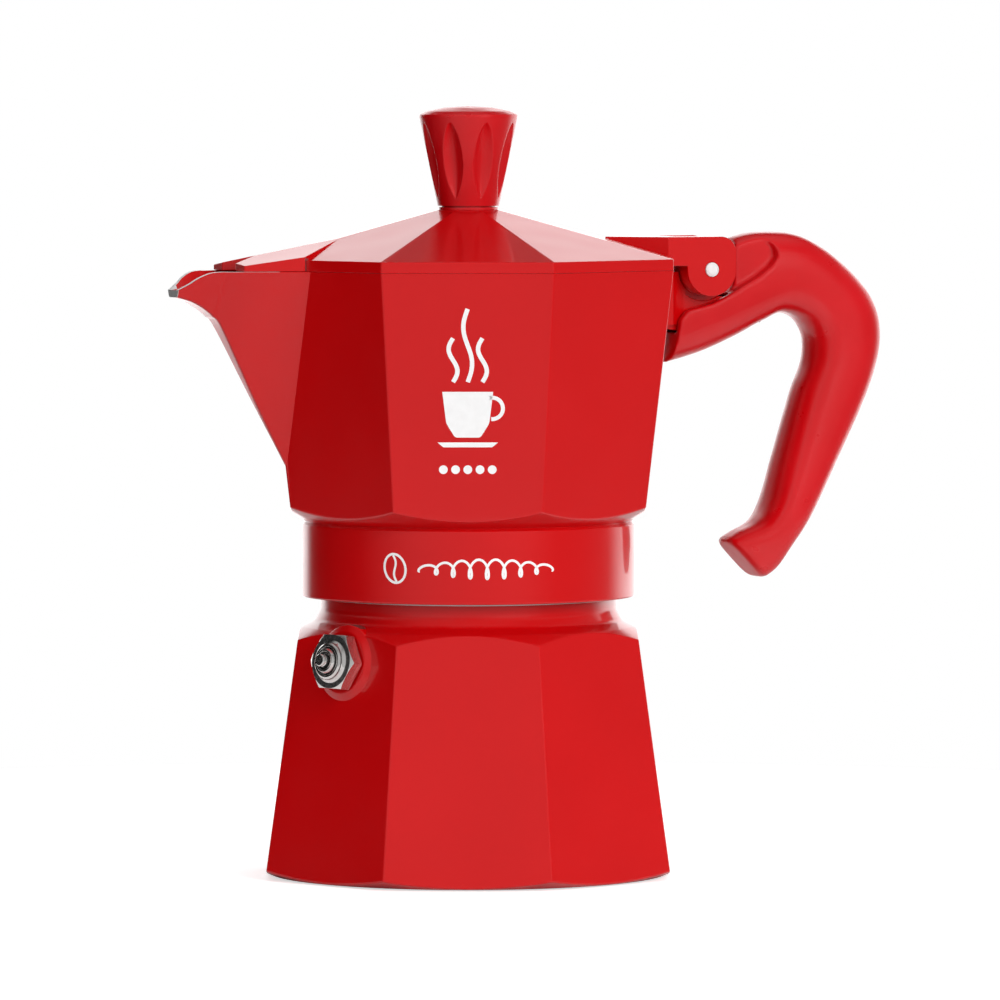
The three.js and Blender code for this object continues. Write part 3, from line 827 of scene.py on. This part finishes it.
def collector():
    """The upper pot: walls, floor, column and skirt in one sweep, with the spout and bracket joined on."""
    waist_in, waist_out = (RING_R - 0.7, RING_TOP + 0.6), (48, 81.8)
    floor_in, floor_out = (31, POT_FLOOR), (48, 90)
    spout_from, channel_half = 46.2, 1.7

    def wall(reach, offset):
        low = (reach * (WAIST_APOTHEM - offset), WAIST_Z)
        high = (reach * (RIM_APOTHEM - offset), RIM_Z)
        return low, high

    def meridian(reach):
        outer_low, outer_high = wall(reach, 0)
        inner_low, inner_high = wall(reach, WALL)
        waist = meet(outer_low, outer_high, waist_in, waist_out)
        basin = meet(inner_low, inner_high, floor_in, floor_out)
        return rounded([
            (0, 110.5), (3.4, 110.5, 0.6), (5.6, 78, 4), (6.6, RING_CEILING, 0.4),
            (RING_BORE, RING_CEILING, 0.6), (RING_BORE, RING_BOTTOM, 0.3), (RING_R, RING_BOTTOM, 0.45),
            (RING_R, RING_TOP, 0.3), (*waist_in, 0.1), (*waist, 0.6), (*outer_high, 0.08),
            (*inner_high, 0.35), (*basin, 2), (*floor_in, 2), (10.5, POT_FLOOR, 1.5), (8.2, 79, 3),
            (5.2, 112.5, 0.6), (4.2, COLUMN_TOP, 0.5), (0, COLUMN_TOP),
        ])

    body = turned("collector_body", octagon, meridian)
    cut(body, spout_window())
    join(body, spout(), bracket())
    outlet = plate("outlet", rectangle(-1.5, 1.5, 106, 109.5), -6, 6)
    screw_bore = rod("screw_bore", 1.5, 109, 130, place=at_screw())
    cut(body, outlet, across_pin("pin_bore", PIN_BORE_R), screw_bore)

    def rule(centre, normal):
        across = math.hypot(centre.x, centre.y)
        outward = centre.x * normal.x + centre.y * normal.y > 0
        if centre.x < -spout_from:
            # The lips' upward faces take the bare metal with the painted highlight.
            if normal.z > 0.75 and abs(centre.y) > channel_half:
                return GROUND_AND_HIGHLIGHT
            return BARE if centre.x < 0.1 - SPOUT[-1][0] else LACQUER
        if centre.z > POT_FLOOR - 0.5:
            facet = 2 * math.pi / SIDES
            flat = facet * (round(math.atan2(centre.y, centre.x) / facet - 0.5) + 0.5)
            reach = centre.x * math.cos(flat) + centre.y * math.sin(flat)
            edge = WAIST_APOTHEM + collector_lean * (centre.z - WAIST_Z)
            facing_in = not outward or normal.z > 0.5 or across < 12
            return BARE if reach < edge - 0.8 and across < 46 and facing_in else LACQUER
        below = across < RING_BORE + 0.3 or not outward and across < RING_R - 0.5
        return BARE if below else LACQUER

    painted = shade(merge_flats(paint(body, rule)))
    finish(painted, "collector", "red_lacquer", (lacquer, aluminium, ground_and_highlight), "collector")
    finish(thread("collector_thread", RING_BORE, -1, 61.7), "collector", "bare_aluminium", (aluminium,))


# ---- printed marks: a generic cup on the front facet and a scroll on the skirt ----
FRONT = math.radians(-112.5)  # direction that the front facet faces
INK_OUT, INK_IN = 0.04, -0.3  # the ink's outer and hidden faces, from the surface


def on_facet(s, z, d):
    """A point on the front facet: s to the right, z up, d out of the surface."""
    reach = WAIST_APOTHEM + collector_lean * (z - WAIST_Z) + d
    ahead, aside = math.cos(FRONT), math.sin(FRONT)
    return (reach * ahead - s * aside, reach * aside + s * ahead, z)


def on_skirt(s, z, d):
    """A point on the skirt, the same way."""
    turn = FRONT + s / RING_R
    return ((RING_R + d) * math.cos(turn), (RING_R + d) * math.sin(turn), z)


def stroke(path, width, place):
    """A ribbon of ink along a path, as the rings of a thin solid that stands on the surface."""
    rings = []
    for i, (s, z) in enumerate(path):
        before, after = Vector(path[max(0, i - 1)]), Vector(path[min(len(path) - 1, i + 1)])
        ahead = (after - before).normalized()
        ds, dz = -ahead.y * width / 2, ahead.x * width / 2
        left, right = (s + ds, z + dz), (s - ds, z - dz)
        rings.append([place(*left, INK_OUT), place(*right, INK_OUT),
                      place(*right, INK_IN), place(*left, INK_IN)])
    return rings


def area(outline, place):
    """A filled shape of ink, as the rings of a thin solid."""
    return [[place(s, z, d) for s, z in outline] for d in (INK_OUT, INK_IN)]


def steam(middle, length):
    """A wisp: one full wave, from just above the cup."""
    steps = 24
    path = []
    for i in range(steps + 1):
        share = i / steps
        path.append((middle + 0.9 * math.sin(2 * math.pi * share), 104 + length * share))
    return stroke(path, 0.9, on_facet)


def scroll(middle_z):
    """A line of loops that grow and shrink again along the skirt."""
    loops, per_loop, start, length = 8, 28, -10, 28
    steps = loops * per_loop
    path = []
    for i in range(steps + 1):
        turn = 2 * math.pi * i / per_loop
        swell = math.sin(math.pi * i / steps)
        path.append((start + length * i / steps - math.sin(turn),
                     middle_z - (0.5 + 1.5 * swell) * math.cos(turn)))
    return stroke(path, 0.5, on_skirt)


def printed_marks():
    """The cup with its steam and drops on the facet, and the bean and scroll on the skirt."""
    cup = area(rounded([
        (-5.2, 102), (-4.4, 95.5, 3), (-2.6, 92.6, 1), (2.6, 92.6, 1), (4.4, 95.5, 3), (5.2, 102),
    ]), on_facet)
    ear = stroke(arc(5.0, 98.6, 2.2, 105, -95, 20), 0.8, on_facet)
    saucer = area(rounded([(-6.2, 91.6), (-5, 90.6, 0.4), (5, 90.6, 0.4), (6.2, 91.6)]), on_facet)
    wisps = [steam(middle, length) for middle, length in ((-3, 9), (0, 15), (3, 9))]
    drops = [area(arc(s, 86, 0.9, 0, 345, 23), on_facet) for s in (-5, -2.5, 0, 2.5, 5)]
    marks = lofts("facet_print", [cup, ear, saucer, *wisps, *drops])
    finish(shade(marks), "collector", "red_lacquer", (ink,))

    bean_s, middle_z = -15.5, 65.4
    bean = [(bean_s + 2.3 * x - 0.7 * y, middle_z + 2.9 * y + 0.5 * x) for x, y in circle(40)]
    crease = []
    for i in range(-10, 11):
        t = i / 10
        crease.append((bean_s + 0.55 * math.sin(2.6 * t) - 0.7 * t, middle_z + 2.7 * t))
    outline = stroke(bean + bean[:1], 0.5, on_skirt)
    marks = lofts("skirt_print", [scroll(middle_z), outline, stroke(crease, 0.45, on_skirt)])
    finish(shade(marks), "collector", "red_lacquer", (ink,))


# ---- lid, knob and hinge pin ----
def lid():
    """The octagonal roof with the beak over the spout and the hinge's two ears, hollowed from below."""
    band_top = RIM_Z + LID_BAND
    peak = LID_PEAK_R * math.cos(math.pi / SIDES)
    inner = RIM_APOTHEM - LID_WALL

    def roof_line(reach):
        return rounded([
            (0, LID_BOTTOM), (reach * RIM_APOTHEM, LID_BOTTOM, 0.08), (reach * RIM_APOTHEM, band_top, 0.25),
            (reach * peak, LID_PEAK_Z, 0.4), (0, LID_PEAK_Z),
        ])

    def hollow_line(reach):
        return rounded([
            (0, LID_BOTTOM - 12), (reach * inner, LID_BOTTOM - 12), (reach * inner, band_top - 1.4, 0.8),
            (8, LID_PEAK_Z - LID_WALL, 2), (0, LID_PEAK_Z - LID_WALL),
        ])

    roof = turned("lid_roof", octagon, roof_line)

    beak_root, beak_tip, notch_tip = 28.5, 53.4, 47.9

    def ridge(x):
        """The height of the beak's ridge, which falls towards the tip."""
        return 129.3 + 0.184 * (notch_tip - x)

    beak = hull("beak", mirrored([
        (-beak_root, 0, ridge(beak_root)), (-beak_root, 0, 127.5), (-41.5, 12.65, 129.2),
        (-41.5, 12.65, LID_BOTTOM), (-beak_tip, 0, ridge(beak_tip)), (-beak_tip, 8.9, 127.4),
        (-beak_tip, 8.9, LID_BOTTOM), (-32, 4, LID_BOTTOM),
    ]))
    notch = prism("notch", [(-notch_tip, 0), (-54.4, 4.7), (-54.4, -4.7)], 120, 135)
    bevel(cut(beak, notch), 0.18, 6)

    side = [(30, LID_BOTTOM + GAP)] + arc(PIN_X, PIN_Z, EAR_R, 171.8, 360, 36)
    side += arc(PIN_X + EAR_R - EAR_CORNER, LUG_TOP - EAR_CORNER, EAR_CORNER, 0, 90)
    side += [(30, LUG_TOP)]
    plan = [(30.9, 0), (41.2, EAR_OUT), (58, EAR_OUT), (58, -EAR_OUT), (41.2, -EAR_OUT)]
    lug = plate("lug", side, -EAR_OUT, EAR_OUT)
    boolean(lug, prism("plan", plan, 118, 140), "INTERSECT")
    slot = plate("slot", rectangle(44.9, 60, 110, 140), -EAR_IN, EAR_IN)
    bevel(cut(lug, slot), 0.25, 30)

    join(roof, beak, lug)
    cut(roof, turned("hollow", octagon, hollow_line), rod("hub_bore", KNOB_BORE_R, 130, 142),
        across_pin("pin_bore", PIN_BORE_R))

    def rule(centre, normal):
        diagonals = (centre.x + centre.y, centre.x - centre.y)
        reach = max(abs(centre.x), abs(centre.y), *(abs(value) / math.sqrt(2) for value in diagonals))
        within = reach < 43 and math.hypot(centre.x, centre.y) < 43.6
        hollow = within and centre.z < LID_PEAK_Z - 1.5 and normal.z < 0.3
        inward = centre.x * normal.x + centre.y * normal.y < 0 and centre.z < 128
        ceiling = normal.z < -0.5 and centre.z > LID_BOTTOM + 0.4
        return BARE if hollow and (inward or ceiling) else LACQUER

    painted = shade(weld(merge_flats(weld(paint(roof, rule)))))
    finish(painted, "lid", "red_lacquer", (lacquer, aluminium), "lid")


def driver_slot(low, half_width, depth, half_length):
    """What a screwdriver's slot takes from the bottom of a screw's head."""
    outline = rectangle(-half_width, half_width, low - 1, low + depth)
    return plate("driver_slot", outline, -half_length, half_length)


def knob():
    """A flared knob with eight leaf-shaped flutes, one at each corner of the octagon."""
    low, high = Vector((6.4, KNOB_BOTTOM + 0.5)), Vector((KNOB_R, KNOB_TOP - 2.4))
    middle, half_length, half_width, depth = KNOB_BOTTOM + 9.9, 7.9, 2.15, 1.3
    eighth = 2 * math.pi / SIDES

    def flute(z, aside):
        """How deep a leaf-shaped flute is: round above its middle, pointed below."""
        along = (z - middle) / half_length
        if abs(along) >= 1:
            return 0
        leaf = (1 - along ** 2) ** (0.62 if along > 0 else 0.95)
        share = aside / (half_width * leaf)
        return depth * leaf * max(0, 1 - share ** 2)

    columns, rows = 320, 110
    top = rounded([
        tuple(high), (KNOB_R, KNOB_TOP - 1.75, 0.3), (8.6, KNOB_TOP - 1.05, 1.2),
        (5, KNOB_TOP - 0.3, 3), (0, KNOB_TOP),
    ], steps=6)
    side = [tuple(low.lerp(high, i / rows)) for i in range(rows)]
    foot, groove = LID_PEAK_Z + 0.02, low.y - 0.3
    foot_r, groove_r = 6.15, 5.6
    line = [(1, foot), (foot_r, foot), (foot_r, groove), (groove_r, groove), (groove_r, low.y)]
    line += side + top
    verts = []
    for i in range(columns):
        turn = 2 * math.pi * i / columns
        away = (turn + eighth / 2) % eighth - eighth / 2
        for r, z in line:
            r -= flute(z, r * math.sin(away))
            verts.append((r * math.cos(turn), r * math.sin(turn), z))
    count = len(line)
    faces = []
    for i in range(columns):
        here, there = i * count, (i + 1) % columns * count
        faces += [(here + k, there + k, there + k + 1, here + k + 1) for k in range(count - 1)]
    faces.append(tuple(i * count for i in reversed(range(columns))))
    body = solid("knob_grip", verts, faces)
    cut(body, rod("knob_bore", KNOB_BORE_R, 130, 150))
    finish(shade(body, 50, even=False), "lid", "red_plastic", (plastic,), "knob")

    z0 = span("knob_screw")[0].z
    head = lathe("knob_fixing", [
        (0, z0), (3.4, z0, 0.5), (3.9, z0 + 2.4, 0.3), (1.4, z0 + 2.4, 0.1), (1.4, 148.6, 0.1), (0, 149.4),
    ], 48)
    cut(head, driver_slot(z0, 0.5, 0.9, 5))
    finish(shade(head), "lid", "bright_steel", (steel,), "knob_screw")


def hinge_pin():
    """The lid's pin, with domed ends."""
    end_r, dome = 0.9, 0.35
    pin = lathe("lid_pin", [
        (0, -PIN_HALF), (end_r, -PIN_HALF, 0.3), (PIN_R, dome - PIN_HALF, 0.2),
        (PIN_R, PIN_HALF - dome, 0.2), (end_r, PIN_HALF, 0.3), (0, PIN_HALF),
    ], 48, place=at_pin())
    finish(shade(pin), "collector", "bright_steel", (pin_highlight,), "hinge_pin")


# ---- handle ----
# The grip's outer and inner edges, from the collector's wall round to the foot.
GRIP = [
    (42, 123.5, 43, 105.8),
    (52, 128.4, 51.5, 108.1),
    (60.7, 132.4, 59, 111.1),
    (68, 133.3, 65.3, 114.2),
    (75.5, 132.2, 70.2, 116.2),
    (83.8, 127.1, 74.8, 114.9),
    (90.9, 119.6, 77.3, 111),
    (93.1, 111.3, 77.1, 105.6),
    (90.5, 100.4, 74.5, 99.1),
    (82.9, 84.9, 70.5, 85.7),
    (76.7, 73, 68.1, 77.3),
    (72.5, 67, 65.4, 72.5),
    (69.2, 62.4, 61, 70.2),
    (65.8, 60, 57.7, 68.4),
]


def grip():
    """A loft of rounded rectangles between the grip's two edges, which thins to a squarer, rounded foot."""
    stations, around, foot_round, foot_share = 170, 48, 1.3, 0.36
    end = Vector(GRIP[-1][:2]) + Vector(GRIP[-1][2:])
    rings = []
    for i in range(stations + 1):
        along = math.sin(math.pi / 2 * i / stations)
        ox, oz, nx, nz = spline(GRIP, along)
        taper = max(0, (along - 0.7) / 0.3) ** 2
        power = 0.75 - 0.25 * taper
        left = min(foot_round, (Vector((ox + nx, oz + nz)) - end).length / 2)
        inset = foot_round - math.sqrt(foot_round ** 2 - (foot_round - left) ** 2)
        share = 1 - 2 * inset / math.hypot(ox - nx, oz - nz)
        ring = []
        for k in range(around):
            turn = 2 * math.pi * (k + 0.5) / around
            side, height = math.cos(turn), math.sin(turn)
            across = (1 + share * math.copysign(abs(side) ** power, side)) / 2
            half = HANDLE_HALF * (1 - foot_share * taper) - inset
            out = half * math.copysign(abs(height) ** power, height)
            ring.append((nx + (ox - nx) * across, out, nz + (oz - nz) * across))
        rings.append(ring)
    return loft("handle_grip", rings)


def handle():
    """The grip, cut clear of the wall, ears and bracket, with a shallow pocket on each side and its screw."""
    def wall_x(z):
        """Where the collector's corner is at a height, with the gap to it."""
        return (WAIST_APOTHEM + collector_lean * (z - WAIST_Z)) / math.cos(math.pi / SIDES) + GAP

    wall_room = plate("wall_room", [
        (30, 100), (wall_x(100), 100), (wall_x(130), 130), (30, 130),
    ], -THROUGH, THROUGH)
    ear_room = plate("ear_room", rounded([
        (38, 108), (42.4, 108), (44, 114, 2), (46.6, 117.2, 2), (52.2, 118.5, 2), (55.7, 120.1, 1),
        (57.6, 121.2, 1), (58.6, 122.8, 1), (58.6, 130, 2), (59.6, 132.2), (59.6, 140), (38, 140),
    ]), -THROUGH, THROUGH)
    tongue_room = plate("tongue_room", [
        (38, 113.2), (46.9, 112.2), (52.2, 112.5), (68.4, 119.6), (68.4, 123.3), (58, 120), (56, 121),
        (56, 130), (38, 130),
    ], -TONGUE_HALF - GAP, TONGUE_HALF + GAP)
    pocket = rounded([
        (50, 117.9), (55.7, 120.1, 2), (63, 124, 3), (66, 126.3, 2), (67.6, 128.4, 1.5), (67.2, 130.2, 1.5),
        (65.6, 131.7, 1.5), (62.5, 133, 2), (58, 135), (50, 135),
    ])
    body = cut(grip(), wall_room, ear_room, tongue_room, plate("pocket", pocket, WEB_HALF, THROUGH),
               plate("pocket", pocket, -THROUGH, -WEB_HALF))
    cut(body, rod("bore", 1.5, 90, 120, place=at_screw()), rod("head", 3.1, 90, 116.2, place=at_screw()))
    skin = body.modifiers.new("skin", "REMESH")
    skin.mode = "VOXEL"
    skin.voxel_size = 0.36 * MM
    ease = body.modifiers.new("ease", "SMOOTH")
    ease.factor = 0.5
    ease.iterations = 5
    settle(body)
    finish(shade(body, 80, even=False), "collector", "red_plastic", (plastic,), "handle")

    low, high = span("handle_screw")
    screw = lathe("handle_fixing", [
        (0, low.z), (2.7, low.z, 0.4), (2.7, low.z + 1.7, 0.2), (1.2, low.z + 1.7),
        (1.2, high.z - 0.6, 0.2), (0, high.z),
    ], 48)
    cut(screw, driver_slot(low.z, 0.4, 0.8, 4))
    screw.data.transform(at_screw())
    finish(shade(screw), "collector", "bright_steel", (steel,), "handle_screw")


boiler()
safety_valve()
relief_spring()
brew_parts()
collector()
printed_marks()
lid()
knob()
hinge_pin()
handle()


# ---- floor, light and camera ----
CAMERA_TURN = math.radians(-22.5)  # the camera stands square to the front facet
CAMERA_AWAY = 1.98
CAMERA_HEIGHT = 0.1765
CAMERA_LENS = 342.1
AIM = Vector((0.0061, -0.0025, 0.0779))
to_right = Vector((math.cos(CAMERA_TURN), math.sin(CAMERA_TURN), 0))
to_camera = Vector((math.sin(CAMERA_TURN), -math.cos(CAMERA_TURN), 0))


def camera():
    """A long lens that looks at the pot's middle."""
    data = bpy.data.cameras.new("camera")
    data.sensor_width = 36
    data.lens = CAMERA_LENS
    obj = placed("camera", data)
    obj.location = AIM + to_camera * CAMERA_AWAY
    obj.location.z = CAMERA_HEIGHT
    obj.rotation_euler = (AIM - obj.location).to_track_quat("-Z", "Y").to_euler()
    bpy.context.scene.camera = obj


def floor():
    """A plain white table, a hair below the foot."""
    radius, count, gap, glow_level = 0.3, 128, 0.3 * MM, 0.62
    mesh = bpy.data.meshes.new("floor")
    with edited(mesh) as work:
        bmesh.ops.create_circle(work, cap_ends=True, segments=count, radius=radius)
    obj = placed("floor", mesh)
    obj.location.z = -gap
    made = Finish("pale_floor", (0.92, 0.92, 0.92), 0.9)
    made.set(Specular_IOR_Level=0.0, Emission_Color=(1, 1, 1, 1))
    path = made.nodes.new("ShaderNodeLightPath")
    glow = made.nodes.new("ShaderNodeMath")
    glow.operation = "MULTIPLY"
    glow.inputs[1].default_value = glow_level
    made.links.new(path.outputs["Is Camera Ray"], glow.inputs[0])
    made.links.new(glow.outputs["Value"], made.shader.inputs["Emission Strength"])
    mesh.materials.append(made.material)


def softbox(name, turn, elevation, away, watts):
    """A square area light; turn is in degrees to the camera's right, elevation in degrees above level."""
    middle, side = Vector((0, 0, 0.08)), 0.9
    data = bpy.data.lights.new(name, "AREA")
    data.size = side
    data.energy = watts
    obj = placed(name, data)
    a, e = math.radians(turn), math.radians(elevation)
    level = to_camera * math.cos(a) + to_right * math.sin(a)
    direction = level * math.cos(e) + Vector((0, 0, math.sin(e)))
    obj.location = middle + direction * away
    obj.rotation_euler = (-direction).to_track_quat("-Z", "Y").to_euler()
    obj.visible_glossy = False


def studio():
    """White all round to the eye; the pot sees glows in front, right, above and behind, and dark between."""
    world = bpy.data.worlds.new("studio")
    world.use_nodes = True
    bpy.context.scene.world = world
    nodes, links = world.node_tree.nodes, world.node_tree.links
    nodes.clear()
    coordinates = nodes.new("ShaderNodeTexCoord")

    def toward(direction):
        """1 where the background lies in that direction, 0 square to it."""
        node = nodes.new("ShaderNodeVectorMath")
        node.operation = "DOT_PRODUCT"
        node.inputs[1].default_value = direction
        links.new(coordinates.outputs["Generated"], node.inputs[0])
        return node.outputs["Value"]

    def fade(source, start, end, level):
        """Rises smoothly from 0 at start to level at end; start may be above end."""
        node = nodes.new("ShaderNodeMapRange")
        node.interpolation_type = "SMOOTHSTEP"
        node.inputs["From Min"].default_value = start
        node.inputs["From Max"].default_value = end
        node.inputs["To Max"].default_value = level
        links.new(source, node.inputs["Value"])
        return node.outputs["Result"]

    def combine(operation, total, *others):
        for other in others:
            node = nodes.new("ShaderNodeMath")
            node.operation = operation
            links.new(total, node.inputs[0])
            links.new(other, node.inputs[1])
            total = node.outputs["Value"]
        return total

    up = toward((0, 0, 1))
    front = fade(toward(to_camera), 0.1, 0.9, 0.57)
    right = fade(toward(to_right), 0.3, 0.95, 0.24)
    ceiling = fade(up, 0.65, 0.95, 0.5)
    behind = combine("MULTIPLY", fade(toward(-to_camera), 0.35, 0.7, 2.4), fade(up, 0.45, 0.36, 1),
                     fade(toward(to_right), -0.66, -0.45, 1))
    glow = combine("ADD", combine("MAXIMUM", front, right, ceiling), behind)
    gloss = nodes.new("ShaderNodeBackground")
    links.new(glow, gloss.inputs["Strength"])
    seen = nodes.new("ShaderNodeBackground")
    seen.inputs["Color"].default_value = (1, 1, 1, 1)
    path = nodes.new("ShaderNodeLightPath")
    mix = nodes.new("ShaderNodeMixShader")
    out = nodes.new("ShaderNodeOutputWorld")
    links.new(path.outputs["Is Camera Ray"], mix.inputs["Fac"])
    links.new(gloss.outputs["Background"], mix.inputs[1])
    links.new(seen.outputs["Background"], mix.inputs[2])
    links.new(mix.outputs["Shader"], out.inputs["Surface"])


camera()
floor()
studio()
softbox("key", 38, 22, 1.5, 15)
softbox("fill", -35, 25, 1.6, 3.2)
softbox("top", 0, 85, 1.4, 2)
softbox("back", 170, 35, 1.6, 5)
bpy.context.scene.view_settings.view_transform = "Standard"
